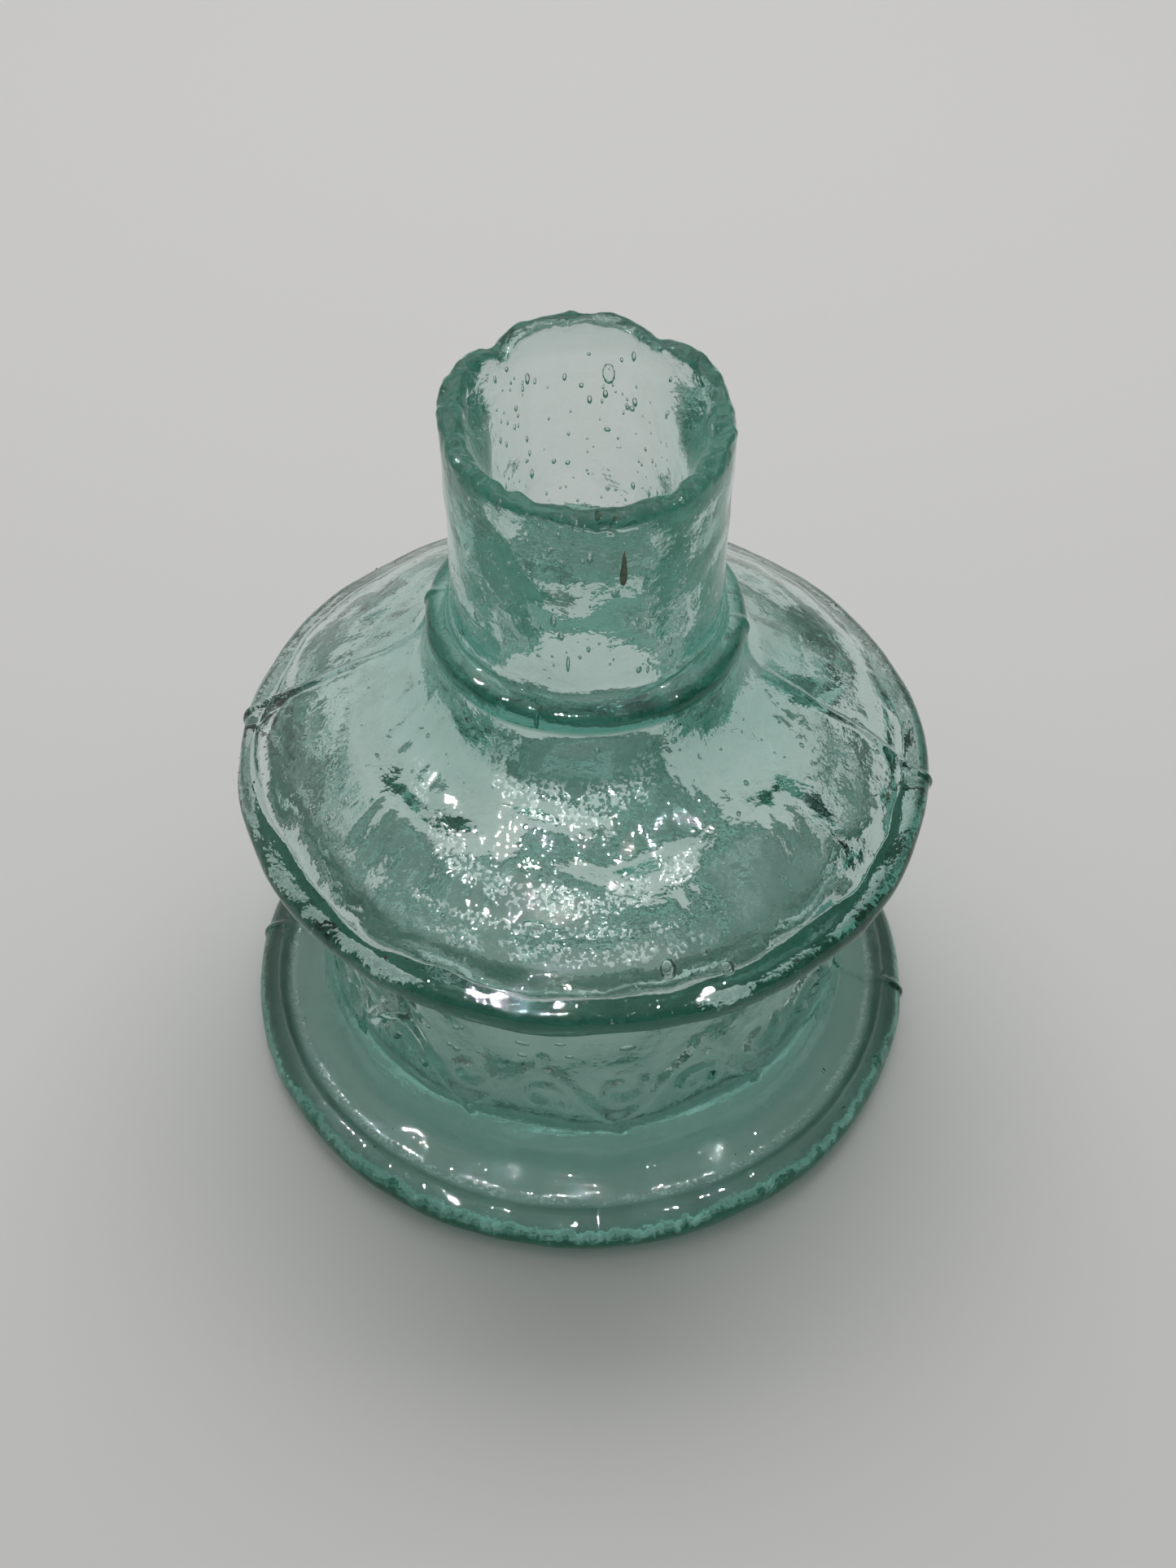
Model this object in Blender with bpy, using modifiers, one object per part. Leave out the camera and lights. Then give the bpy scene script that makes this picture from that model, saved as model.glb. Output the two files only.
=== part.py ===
"""Empty aqua glass ink bottle of the cotton-reel shape: one piece of glass blown in a two-part mould.

Metres, +Z up. The origin is the middle of the foot, on the surface that the bottle stands on, and -Y is
its front. The outline is turned about Z, the snapped-off lip is then made uneven, and the two mould
seams and the moulded vine on the waist's front are joined on.
"""

import math

import bmesh
import bpy

MM = 0.001

# Driving dimensions, in millimetres
LIP_Z = 62.9
LIP_RADIUS = 10.05
BORE_RADIUS = 8.45
THROAT_RADIUS = 7.8
NECK_RADIUS = 9.95
NECK_FOOT_Z = 46.5
COLLAR_RADIUS = 11.85
COLLAR_NOSE = 1.2
COLLAR_Z = 44.4
RIM_RADIUS = 26.95
RIM_NOSE = 1.3
RIM_Z = 29.6
WAIST_RADIUS = 21.35
WAIST_BORE = 19.0
FLANGE_RADIUS = 28.0
FLANGE_NOSE = 1.8
FLANGE_NOSE_Z = 2.1
FLANGE_TOP_Z = 4.3
FLOOR_Z = 5.6
HEEL_RADIUS = 3.4
POCKET_RADIUS = 25.0
POCKET_NOSE = 1.2
POCKET_Z = 29.7
FOOT_INNER_RADIUS = 19.0
KICK_UP = 3.0

# The lip: it leans up towards the back, and it keeps the marks of being snapped off
LIP_LEAN_BACK = 0.09
LIP_LEAN_LEFT = 0.02
LIP_WORK_Z = 57.0
LIP_CHIPS = (  # azimuth and half-width in degrees, then how far it rises and how far it bulges out
    (95, 22, 0.35, 0.0),
    (133, 6, -0.75, -0.15),
    (158, 20, -0.15, 0.45),
    (215, 18, -0.10, 0.15),
    (60, 9, -0.35, -0.2),
    (38, 8, 0.25, 0.1),
    (15, 10, -0.3, 0.0),
)

# The bore's wall, which swells in at both sides between the collar and the lip
THROAT_SWELLS = (  # azimuth and half-width in degrees, then how far the glass swells into the bore
    (178, 42, 1.6),
    (6, 42, 1.75),
    (90, 45, -0.4),
    (270, 30, 0.1),
)
THROAT_SPAN = (39.0, 50.0, 58.8, 62.7)

# The mould's seams, and the vine on the front half of the waist
SEAM_AZIMUTHS = (-6.0, 174.0)
SEAM_WIDTH = 0.5
SEAM_HEIGHT = 0.22
SEAM_ROOT = 0.6
VINE_Z = 13.4
VINE_SWING = 3.0
VINE_BENDS = 10
VINE_FROM = 188.0
VINE_TO = 352.0
VINE_STEM = 0.6
VINE_PROUD = 0.42
VINE_POINTS = 71
LEAF_HALF = (2.3, 0.8, 1.15)

TURN_STEPS = 60
GLASS_COLOUR = (0.36, 0.68, 0.60, 1.0)
GLASS_ROUGHNESS = 0.04
GLASS_IOR = 1.52


def arc(centre, radius, start, end, steps):
    """Points along an arc in the (radius, height) plane, with angles in degrees from straight out."""
    points = []
    for i in range(steps + 1):
        angle = math.radians(start + (end - start) * i / steps)
        points.append((centre[0] + radius * math.cos(angle), centre[1] + radius * math.sin(angle)))
    return points


def inner_outline():
    """The cavity's side of the glass, from the middle of the floor up to the lip."""
    outline = [(0.0, FLOOR_Z), (8.0, FLOOR_Z - 0.1)]
    heel = (WAIST_BORE - HEEL_RADIUS, FLOOR_Z + HEEL_RADIUS - 0.2)
    outline += arc(heel, HEEL_RADIUS, -90, 0, 5)
    outline += [(WAIST_BORE, 15.5), (WAIST_BORE, 22.5), (WAIST_BORE + 0.3, 24.8), (20.2, 26.9), (22.4, 28.3)]
    pocket = (POCKET_RADIUS - POCKET_NOSE, POCKET_Z)
    outline += arc(pocket, POCKET_NOSE, -60, 55, 3)
    outline += [(22.0, 31.7), (19.5, 33.0), (16.5, 34.0), (13.8, 34.6)]
    outline += [(11.6, 35.2), (9.6, 36.4), (8.3, 38.6)]
    outline += [(THROAT_RADIUS, 43.0), (THROAT_RADIUS, 46.5), (THROAT_RADIUS, 52.0)]
    outline += [(THROAT_RADIUS + 0.2, LIP_WORK_Z), (THROAT_RADIUS + 0.35, 59.2)]
    outline += [(BORE_RADIUS - 0.15, 61.0), (BORE_RADIUS, LIP_Z - 0.3)]
    return outline


def shoulder_outline():
    """The outside of the glass from the lip down to the rim's nose."""
    outline = [(BORE_RADIUS + 0.3, LIP_Z), (LIP_RADIUS - 0.35, LIP_Z), (LIP_RADIUS, LIP_Z - 0.45)]
    outline += [(LIP_RADIUS, 61.0), (NECK_RADIUS, LIP_WORK_Z), (NECK_RADIUS - 0.05, 52.5)]
    outline += [(NECK_RADIUS, NECK_FOOT_Z), (NECK_RADIUS + 0.15, NECK_FOOT_Z - 0.7)]
    outline += arc((COLLAR_RADIUS - COLLAR_NOSE, COLLAR_Z), COLLAR_NOSE, 90, -35, 5)
    outline += [(COLLAR_RADIUS - 0.1, 43.0), (12.2, 41.8), (13.2, 40.2), (15.0, 38.7)]
    outline += [(17.5, 37.1), (20.0, 35.5), (22.5, 33.6), (24.3, 32.1)]
    outline += arc((RIM_RADIUS - RIM_NOSE, RIM_Z), RIM_NOSE, 70, -90, 7)
    return outline


def waist_outline():
    """The outside of the glass from under the rim, down the waist, to the middle of the underside."""
    outline = [(23.8, 27.6), (22.4, 26.2), (WAIST_RADIUS + 0.3, 24.2), (WAIST_RADIUS, 21.5)]
    outline += [(WAIST_RADIUS - 0.1, 14.0), (WAIST_RADIUS, 7.8), (WAIST_RADIUS + 0.3, 6.1)]
    outline += [(WAIST_RADIUS + 1.0, 5.0), (WAIST_RADIUS + 2.0, FLANGE_TOP_Z), (24.7, FLANGE_TOP_Z - 0.5)]
    outline += [(25.5, FLANGE_TOP_Z - 0.45)]
    outline += arc((FLANGE_RADIUS - FLANGE_NOSE, FLANGE_NOSE_Z), FLANGE_NOSE, 80, -65, 7)
    outline += [(25.7, 0.12), (24.4, 0.0), (FOOT_INNER_RADIUS, 0.0)]
    outline += [(FOOT_INNER_RADIUS - 2.0, 0.25), (10.0, KICK_UP - 0.2), (0.0, KICK_UP)]
    return outline


def new_object(name, mesh, collection):
    made = bpy.data.objects.new(name, mesh)
    collection.objects.link(made)
    return made


def profile_mesh(name, outline):
    """An open chain of edges in the XZ plane."""
    shape = bmesh.new()
    corners = [shape.verts.new((r * MM, 0.0, z * MM)) for r, z in outline]
    for first, second in zip(corners, corners[1:]):
        shape.edges.new((first, second))
    mesh = bpy.data.meshes.new(name)
    shape.to_mesh(mesh)
    shape.free()
    return mesh


def baked_copy(source):
    """The object's evaluated shape as a mesh of its own, with its caps and seams welded."""
    graph = bpy.context.evaluated_depsgraph_get()
    mesh = bpy.data.meshes.new_from_object(source.evaluated_get(graph))
    shape = bmesh.new()
    shape.from_mesh(mesh)
    bmesh.ops.remove_doubles(shape, verts=shape.verts, dist=0.001 * MM)
    shape.to_mesh(mesh)
    shape.free()
    return mesh


def away_from(azimuth, centre):
    """The angle from one azimuth to another, in degrees between -180 and 180."""
    return (azimuth - centre + 180.0) % 360.0 - 180.0


def smooth_step(value, low, high):
    share = min(max((value - low) / (high - low), 0.0), 1.0)
    return share * share * (3 - 2 * share)


def lip_change(azimuth):
    """How far the lip rises and bulges at an azimuth in degrees, in millimetres."""
    turn = math.radians(azimuth)
    rise = LIP_RADIUS * (LIP_LEAN_BACK * math.sin(turn) - LIP_LEAN_LEFT * math.cos(turn))
    bulge = 0.0
    for centre, half, lift, swell in LIP_CHIPS:
        share = math.exp(-((away_from(azimuth, centre) / half) ** 2))
        rise += lift * share
        bulge += swell * share
    return rise, bulge


def swell_throat(mesh):
    """Swells the bore's wall in towards the axis at both sides."""
    low, full_low, full_high, high = THROAT_SPAN
    for vertex in mesh.vertices:
        height = vertex.co.z / MM
        radius = math.hypot(vertex.co.x, vertex.co.y) / MM
        share = smooth_step(height, low, full_low) * (1.0 - smooth_step(height, full_high, high))
        if share == 0.0 or radius > BORE_RADIUS + 0.01:
            continue
        azimuth = math.degrees(math.atan2(vertex.co.y, vertex.co.x))
        inward = 0.0
        for centre, half, swell in THROAT_SWELLS:
            inward += swell * math.exp(-((away_from(azimuth, centre) / half) ** 2))
        stretch = 1.0 - inward * share / radius
        vertex.co.x *= stretch
        vertex.co.y *= stretch


def snap_lip(mesh):
    """Moves the top of the neck as the glassmaker's shears left it."""
    for vertex in mesh.vertices:
        height = vertex.co.z / MM
        share = max(0.0, (height - LIP_WORK_Z) / (LIP_Z - LIP_WORK_Z))
        if share == 0.0:
            continue
        radius = math.hypot(vertex.co.x, vertex.co.y)
        rise, bulge = lip_change(math.degrees(math.atan2(vertex.co.y, vertex.co.x)))
        vertex.co.z += rise * share * MM
        stretch = 1.0 + bulge * share * MM / radius
        vertex.co.x *= stretch
        vertex.co.y *= stretch


def turned_glass(collection):
    """The bottle's body, turned from its outline and then given its uneven bore and lip."""
    outline = inner_outline() + shoulder_outline() + waist_outline()
    turned = new_object("turned_outline", profile_mesh("turned_outline", outline), collection)
    screw = turned.modifiers.new("turn", "SCREW")
    screw.axis = "Z"
    screw.steps = TURN_STEPS
    screw.render_steps = TURN_STEPS
    screw.use_merge_vertices = True
    screw.merge_threshold = 0.01 * MM
    mesh = baked_copy(turned)
    bpy.data.objects.remove(turned)
    swell_throat(mesh)
    snap_lip(mesh)
    return mesh


def seam_strip(name, azimuth, collection):
    """A thin upright plate that follows the outline from the collar down to the flange."""
    side = [point for point in shoulder_outline() if point[1] < NECK_FOOT_Z]
    side += [point for point in waist_outline() if point[0] > FOOT_INNER_RADIUS and point[1] > 0.5]
    outer = []
    inner = []
    for i, (r, z) in enumerate(side):
        before = side[max(i - 1, 0)]
        after = side[min(i + 1, len(side) - 1)]
        run = (after[0] - before[0], after[1] - before[1])
        length = math.hypot(*run)
        normal = (-run[1] / length, run[0] / length)
        outer.append((r + normal[0] * SEAM_HEIGHT, z + normal[1] * SEAM_HEIGHT))
        inner.append((r - normal[0] * SEAM_ROOT, z - normal[1] * SEAM_ROOT))
    shape = bmesh.new()
    walls = []
    for offset in (-0.5, 0.5):
        across = offset * SEAM_WIDTH * MM
        walls.append(
            (
                [shape.verts.new((r * MM, across, z * MM)) for r, z in outer],
                [shape.verts.new((r * MM, across, z * MM)) for r, z in inner],
            )
        )
    (front_out, front_in), (back_out, back_in) = walls
    for i in range(len(outer) - 1):
        shape.faces.new((front_out[i], front_out[i + 1], front_in[i + 1], front_in[i]))
        shape.faces.new((back_out[i + 1], back_out[i], back_in[i], back_in[i + 1]))
        shape.faces.new((front_out[i + 1], front_out[i], back_out[i], back_out[i + 1]))
        shape.faces.new((front_in[i], front_in[i + 1], back_in[i + 1], back_in[i]))
    shape.faces.new((front_out[0], front_in[0], back_in[0], back_out[0]))
    shape.faces.new((front_in[-1], front_out[-1], back_out[-1], back_in[-1]))
    bmesh.ops.recalc_face_normals(shape, faces=shape.faces)
    mesh = bpy.data.meshes.new(name)
    shape.to_mesh(mesh)
    shape.free()
    strip = new_object(name, mesh, collection)
    strip.rotation_euler.z = math.radians(azimuth)
    return strip


def vine_turn(share):
    """The azimuth, in radians, at a share of the way along the vine."""
    return math.radians(VINE_FROM + (VINE_TO - VINE_FROM) * share)


def vine_stem(collection):
    """A wavy tube, half sunk in the front of the waist."""
    curve = bpy.data.curves.new("vine_stem", "CURVE")
    curve.dimensions = "3D"
    curve.bevel_depth = VINE_STEM * MM
    curve.bevel_resolution = 1
    curve.use_fill_caps = True
    spline = curve.splines.new("POLY")
    spline.points.add(VINE_POINTS - 1)
    radius = WAIST_RADIUS + VINE_PROUD - VINE_STEM
    for i, point in enumerate(spline.points):
        share = i / (VINE_POINTS - 1)
        turn = vine_turn(share)
        height = VINE_Z + VINE_SWING * math.sin(math.pi * VINE_BENDS * share)
        point.co = (radius * math.cos(turn) * MM, radius * math.sin(turn) * MM, height * MM, 1.0)
    drawn = new_object("vine_curve", curve, collection)
    stem = new_object("vine_stem", baked_copy(drawn), collection)
    bpy.data.objects.remove(drawn)
    return stem


def vine_leaf(name, turn, above, collection):
    """One flat leaf in the bend of the vine, tilted as it leaves the stem."""
    shape = bmesh.new()
    bmesh.ops.create_uvsphere(shape, u_segments=8, v_segments=5, radius=MM)
    mesh = bpy.data.meshes.new(name)
    shape.to_mesh(mesh)
    shape.free()
    leaf = new_object(name, mesh, collection)
    depth = LEAF_HALF[1]
    radius = WAIST_RADIUS + VINE_PROUD - depth
    height = VINE_Z + (0.45 if above else -0.45) * VINE_SWING
    leaf.location = (radius * math.cos(turn) * MM, radius * math.sin(turn) * MM, height * MM)
    leaf.rotation_euler = (0.0, math.radians(-35 if above else 35), turn + math.pi / 2)
    leaf.scale = LEAF_HALF
    return leaf


def joined_on(body, additions):
    """Unions each addition to the body with an exact Boolean."""
    for addition in additions:
        addition.hide_render = True
        addition.display_type = "WIRE"
        union = body.modifiers.new(addition.name, "BOOLEAN")
        union.operation = "UNION"
        union.solver = "EXACT"
        union.object = addition


def glass_material():
    material = bpy.data.materials.new("aqua_glass")
    material.use_nodes = True
    shader = material.node_tree.nodes["Principled BSDF"]
    shader.inputs["Base Color"].default_value = GLASS_COLOUR
    shader.inputs["Roughness"].default_value = GLASS_ROUGHNESS
    shader.inputs["Metallic"].default_value = 0.0
    shader.inputs["IOR"].default_value = GLASS_IOR
    shader.inputs["Transmission Weight"].default_value = 0.9
    return material


def main():
    for existing in list(bpy.data.objects):
        bpy.data.objects.remove(existing)
    bottle_parts = bpy.data.collections.new("ink_bottle")
    cutters = bpy.data.collections.new("ink_bottle_additions")
    for collection in (bottle_parts, cutters):
        bpy.context.scene.collection.children.link(collection)

    body = new_object("glass_bottle", turned_glass(cutters), bottle_parts)
    body.data.materials.append(glass_material())
    additions = []
    for i, azimuth in enumerate(SEAM_AZIMUTHS):
        additions.append(seam_strip(f"mould_seam_{i + 1}", azimuth, cutters))
    additions.append(vine_stem(cutters))
    for i in range(VINE_BENDS):
        turn = vine_turn((i + 0.5) / VINE_BENDS)
        additions.append(vine_leaf(f"vine_leaf_{i + 1}", turn, i % 2 == 1, cutters))
    joined_on(body, additions)
    cutters.hide_render = True
    body.data.shade_smooth()
    body.data.set_sharp_from_angle(angle=math.radians(40))


main()
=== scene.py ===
"""The looks of an empty aqua glass ink bottle of the cotton-reel shape, blown in a two-part mould.

Lengths named in this file are millimetres unless they say otherwise. -Y is the bottle's front.
"""
import math

import bmesh
import bpy
import numpy as np
from mathutils import Matrix, Vector


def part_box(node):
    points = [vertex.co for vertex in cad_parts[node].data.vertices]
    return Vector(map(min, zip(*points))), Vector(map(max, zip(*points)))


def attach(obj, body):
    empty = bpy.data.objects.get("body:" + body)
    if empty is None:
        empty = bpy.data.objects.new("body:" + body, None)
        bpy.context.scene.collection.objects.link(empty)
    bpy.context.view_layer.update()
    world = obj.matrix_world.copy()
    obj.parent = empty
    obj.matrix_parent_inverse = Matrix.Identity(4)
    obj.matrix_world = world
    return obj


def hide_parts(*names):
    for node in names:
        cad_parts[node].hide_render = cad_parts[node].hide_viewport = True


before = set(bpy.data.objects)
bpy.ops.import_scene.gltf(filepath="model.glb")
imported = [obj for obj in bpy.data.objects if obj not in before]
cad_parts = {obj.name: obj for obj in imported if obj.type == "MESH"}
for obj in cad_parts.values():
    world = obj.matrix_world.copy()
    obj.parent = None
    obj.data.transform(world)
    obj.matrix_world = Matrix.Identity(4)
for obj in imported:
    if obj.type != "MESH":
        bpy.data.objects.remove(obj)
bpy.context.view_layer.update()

MM = 0.001
CAD_HIGH = np.array(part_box("glass_bottle")[1]) / MM

# ---------------------------------------------------------------- outline of the glass
FLANGE_RADIUS = CAD_HIGH[1] - 0.05
LIP_Z = 62.9
LIP_RADIUS = 10.05
BORE_RADIUS = 8.45
THROAT_RADIUS = 7.8
NECK_RADIUS = 9.95
NECK_FOOT_Z = 46.5
COLLAR_RADIUS = 11.85
COLLAR_NOSE = 1.2
COLLAR_Z = 44.4
RIM_RADIUS = 26.95
RIM_NOSE = 1.3
RIM_Z = 29.6
WAIST_RADIUS = 21.35
WAIST_BORE = 19.0
FLANGE_NOSE = 1.8
FLANGE_NOSE_Z = 2.1
FLANGE_TOP_Z = 4.3
FLOOR_Z = 5.6
HEEL_RADIUS = 3.4
POCKET_RADIUS = 25.0
POCKET_NOSE = 1.2
POCKET_Z = 29.7
FOOT_INNER_RADIUS = 19.0
KICK_UP = 3.0
LIP_WORK_Z = 57.0


def arc(centre, radius, start, end, steps):
    """Points along an arc in the (radius, height) plane, with angles in degrees from straight out."""
    points = []
    for i in range(steps + 1):
        angle = math.radians(start + (end - start) * i / steps)
        points.append((centre[0] + radius * math.cos(angle), centre[1] + radius * math.sin(angle)))
    return points


def inner_outline():
    """The cavity's side of the glass, from the middle of the floor up to the lip."""
    outline = [(0.0, FLOOR_Z), (8.0, FLOOR_Z - 0.1)]
    heel = (WAIST_BORE - HEEL_RADIUS, FLOOR_Z + HEEL_RADIUS - 0.2)
    outline += arc(heel, HEEL_RADIUS, -90, 0, 8)
    outline += [(WAIST_BORE, 15.5), (WAIST_BORE, 22.5), (WAIST_BORE + 0.3, 24.8)]
    outline += [(20.2, 26.9), (21.6, 28.0), (23.0, 28.4)]
    pocket = (POCKET_RADIUS - POCKET_NOSE, POCKET_Z)
    outline += arc(pocket, POCKET_NOSE, -60, 55, 6)
    outline += [(22.0, 31.7), (19.5, 33.0), (16.5, 34.0), (13.8, 34.6)]
    outline += [(11.6, 35.2), (9.6, 36.4), (8.3, 38.6)]
    outline += [(THROAT_RADIUS, 42.5), (THROAT_RADIUS, 52.0), (THROAT_RADIUS + 0.2, LIP_WORK_Z)]
    outline += [(BORE_RADIUS - 0.15, 61.0), (BORE_RADIUS, LIP_Z - 0.3)]
    return outline


def outer_outline():
    """The outside of the glass, from the lip down to the middle of the underside."""
    outline = [(BORE_RADIUS + 0.3, LIP_Z), (LIP_RADIUS - 0.35, LIP_Z), (LIP_RADIUS, LIP_Z - 0.45)]
    outline += [(LIP_RADIUS, 61.0), (NECK_RADIUS, LIP_WORK_Z), (NECK_RADIUS - 0.05, 52.5)]
    outline += [(NECK_RADIUS, NECK_FOOT_Z), (NECK_RADIUS + 0.15, NECK_FOOT_Z - 0.7)]
    outline += arc((COLLAR_RADIUS - COLLAR_NOSE, COLLAR_Z), COLLAR_NOSE, 90, -35, 10)
    outline += [(COLLAR_RADIUS - 0.1, 43.0), (12.2, 41.8), (13.2, 40.2), (15.0, 38.7)]
    outline += [(17.5, 37.1), (20.0, 35.5), (22.5, 33.6), (24.3, 32.1)]
    outline += arc((RIM_RADIUS - RIM_NOSE, RIM_Z), RIM_NOSE, 70, -90, 12)
    outline += [(23.8, 27.6), (22.4, 26.2), (WAIST_RADIUS + 0.3, 24.2), (WAIST_RADIUS, 21.5)]
    outline += [(WAIST_RADIUS - 0.1, 14.0), (WAIST_RADIUS, 7.8), (WAIST_RADIUS + 0.3, 6.1)]
    outline += [(WAIST_RADIUS + 1.0, 5.0), (WAIST_RADIUS + 2.0, FLANGE_TOP_Z), (24.7, FLANGE_TOP_Z - 0.5)]
    outline += [(25.5, FLANGE_TOP_Z - 0.45)]
    outline += arc((FLANGE_RADIUS - FLANGE_NOSE, FLANGE_NOSE_Z), FLANGE_NOSE, 80, -65, 12)
    outline += [(25.7, 0.12), (24.4, 0.0), (FOOT_INNER_RADIUS, 0.0)]
    outline += [(FOOT_INNER_RADIUS - 2.0, 0.25), (10.0, KICK_UP - 0.2), (0.0, KICK_UP)]
    return outline


FINE_STEP = 0.05
MELT = 0.14


def melted(points):
    """The whole outline as closely spaced points, with its corners rounded as molten glass is."""
    points = np.array(points)
    lengths = np.hypot(*np.diff(points, axis=0).T)
    along = np.concatenate([[0.0], np.cumsum(lengths)])
    fine = np.arange(0.0, along[-1], FINE_STEP)
    path = np.stack([np.interp(fine, along, points[:, k]) for k in (0, 1)], axis=1)
    reach = int(4 * MELT / FINE_STEP)
    kernel = np.exp(-0.5 * (np.arange(-reach, reach + 1) * FINE_STEP / MELT) ** 2)
    kernel /= kernel.sum()
    before = path[1 : reach + 1][::-1] * (-1.0, 1.0)
    after = path[-reach - 1 : -1][::-1] * (-1.0, 1.0)
    padded = np.concatenate([before, path, after])
    return np.stack([np.convolve(padded[:, k], kernel, mode="valid") for k in (0, 1)], axis=1)


def spaced(path, spacing):
    """Picks points along the path so that the gap between neighbours is what spacing says there."""
    steps = FINE_STEP / spacing
    count = np.concatenate([[0.0], np.cumsum(steps[1:])])
    wanted = np.linspace(0.0, count[-1], int(count[-1]) + 1)
    return np.interp(wanted, count, np.arange(len(path)))


# ---------------------------------------------------------------- unevenness
SKIN_RIPPLES = (0.06, 10.0, 24, 11)  # size, wavelength, how many waves, and seed, as in the others here
FINE_SKIN_RIPPLES = (0.02, 3.5, 24, 12)
SHOULDER_STREAKS = (0.035, 1.4, 40, 19)
BORE_RIPPLES = (0.3, 12.0, 24, 13)
FINE_BORE_RIPPLES = (0.10, 5.0, 24, 14)
CEILING_RIPPLES = (0.12, 10.5, 24, 18)
BOTTOM_RIPPLES = (0.12, 8.0, 24, 17)
LIP_RIPPLES = (0.06, 3.4, 32, 15)
FINE_LIP_RIPPLES = (0.08, 1.2, 32, 16)


def ripples(points, size, wavelength, count, seed):
    """Smooth seeded noise of about the given size: a sum of plane waves near the given wavelength."""
    chance = np.random.default_rng(seed)
    total = np.zeros(len(points))
    for _ in range(count):
        heading = chance.normal(size=3)
        heading /= np.linalg.norm(heading)
        pitch = wavelength * chance.uniform(0.7, 1.5)
        total += np.sin(points @ heading * (2 * math.pi / pitch) + chance.uniform(0, 2 * math.pi))
    return size * (total / math.sqrt(count / 2))


def smooth_step(value, low, high):
    share = np.clip((value - low) / (high - low), 0.0, 1.0)
    return share * share * (3 - 2 * share)


def away_from(azimuth, centre):
    """The angle from one azimuth to another, in degrees between -180 and 180."""
    return (azimuth - centre + 180.0) % 360.0 - 180.0


LIP_LEAN_BACK = 0.09
LIP_LEAN_LEFT = 0.02
LIP_CHIPS = (  # azimuth and half-width in degrees, then how far it rises and how far it bulges out
    (95, 22, 0.35, 0.0),
    (133, 6, -0.75, -0.15),
    (158, 20, -0.15, 0.45),
    (215, 18, -0.10, 0.15),
    (60, 9, -0.35, -0.2),
    (38, 8, 0.25, 0.1),
    (15, 10, -0.3, 0.0),
)
THROAT_SWELLS = (  # azimuth and half-width in degrees, then how far the glass swells into the bore
    (178, 42, 1.6),
    (6, 42, 1.75),
    (90, 45, -0.4),
    (270, 30, 0.1),
)


def lip_change(azimuth):
    """How far the lip rises and bulges at each azimuth."""
    turn = np.radians(azimuth)
    rise = LIP_RADIUS * (LIP_LEAN_BACK * np.sin(turn) - LIP_LEAN_LEFT * np.cos(turn))
    bulge = np.zeros_like(rise)
    for centre, half, lift, swell in LIP_CHIPS:
        share = np.exp(-((away_from(azimuth, centre) / half) ** 2))
        rise = rise + lift * share
        bulge = bulge + swell * share
    return rise, bulge


def throat_change(azimuth):
    """How far the bore's wall stands in at each azimuth, below the lip."""
    swell = np.zeros_like(azimuth)
    for centre, half, inward in THROAT_SWELLS:
        swell = swell + inward * np.exp(-((away_from(azimuth, centre) / half) ** 2))
    return swell


# ---------------------------------------------------------------- the glass body
COLUMNS = 292
SEAM_AZIMUTHS = (-6.0, 174.0)
SEAM_DENSITY = 3.5
FRONT_DENSITY = 1.0
SEAM_REACH = 2.2
UNDERSIDE_SPACING = 1.6
ROW_SPACINGS = (  # from this height down to the next, the gap between rows outside and inside
    (90.0, 0.22, 0.3),
    (61.4, 0.6, 0.9),
    (47.2, 0.3, 1.0),
    (42.0, 0.5, 1.0),
    (31.6, 0.24, 0.7),
    (26.5, 0.5, 1.0),
    (20.5, 0.34, 1.1),
    (6.6, 0.4, 0.8),
    (4.1, 0.26, 1.2),
)


def column_azimuths():
    """The mesh's columns, closer together along the two mould seams and across the front."""
    fine = np.arange(0.0, 360.0, 0.05)
    density = np.ones_like(fine)
    for seam in SEAM_AZIMUTHS:
        density += SEAM_DENSITY * np.exp(-((away_from(fine, seam) / SEAM_REACH) ** 4))
    density += FRONT_DENSITY * (1 - smooth_step(np.abs(away_from(fine, -90.0)), 60.0, 80.0))
    count = np.cumsum(density)
    wanted = (np.arange(COLUMNS) + 0.5) * count[-1] / COLUMNS
    return np.interp(wanted, count, fine)


def body_rows():
    """The rows of the glass: its outline, and how far each row counts as the outside."""
    inner = inner_outline()
    path = melted(inner + outer_outline())
    inner_length = np.hypot(*np.diff(np.array(inner), axis=0).T).sum()
    outside = smooth_step(np.arange(len(path)) * FINE_STEP, inner_length, inner_length + 1.0)
    under = (outside > 0.5) & (path[:, 1] < KICK_UP + 0.2) & (path[:, 0] < FLANGE_RADIUS - FLANGE_NOSE)
    spacing = np.zeros(len(path))
    for top, outer_gap, inner_gap in ROW_SPACINGS:
        below = path[:, 1] < top
        spacing[below] = (inner_gap + (outer_gap - inner_gap) * outside)[below]
    spacing[under] = UNDERSIDE_SPACING
    at = spaced(path, spacing)
    index = np.arange(len(path))
    outline = np.stack([np.interp(at, index, path[:, k]) for k in (0, 1)], axis=1)
    return outline, np.interp(at, index, outside)


# ---------------------------------------------------------------- marks of the mould, and painted shade
FOOT_RINGS = (  # radius, half-width and height of the low ridges round the top of the foot
    (26.15, 0.35, 0.2),
    (24.9, 0.5, -0.14),
    (23.6, 0.4, 0.12),
)
HOLLOW_AZIMUTH = -93.0  # the hollow in the cavity's ceiling, in front of the neck
HOLLOW_RADIUS = 13.6
HOLLOW_HALF_SIZES = (4.2, 1.1)
HOLLOW_DEPTH = 0.5
RIM_FILL = 0.9  # how far the glass fills the rim's pocket, and how much less where the rim is hollow
RIM_HOLLOW = 1.1
HOLLOW_RIM_AZIMUTH = 172.0
HOLLOW_RIM_HALF_ANGLE = 34.0
STREAK_RADIUS = 17.0  # fine streaks that run down the shoulder
STREAK_STRETCH = 0.2
DOME_RING_HEIGHT = 0.2
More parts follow.
